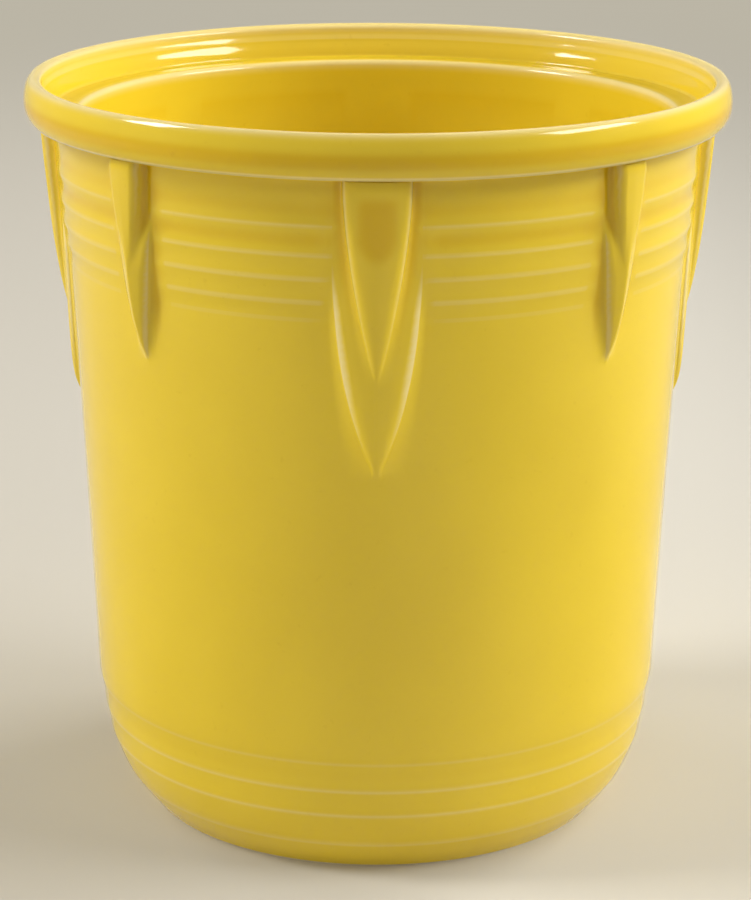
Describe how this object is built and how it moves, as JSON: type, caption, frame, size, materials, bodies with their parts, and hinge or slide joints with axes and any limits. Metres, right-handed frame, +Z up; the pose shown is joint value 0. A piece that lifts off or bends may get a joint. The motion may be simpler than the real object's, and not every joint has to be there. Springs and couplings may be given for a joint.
{
  "type": "kitchen canister",
  "caption": "Open glazed ceramic kitchen canister: tapered round crock with a rolled rim, lid seat, ringed shoulder and base, and stepped pointed pendants under the rim.",
  "frame": {"origin": "centre of the foot ring's underside, on the table", "axes": "+Z up along the crock's turning axis; a long pendant faces each of +X, +Y, -X and -Y, with a short one halfway between each pair"},
  "size_m": [0.176, 0.176, 0.188],
  "materials": {
    "yellow_glaze": "gloss"
  },
  "bodies": {
    "root": {"crock_body": "yellow_glaze"}
  },
  "joints": []
}
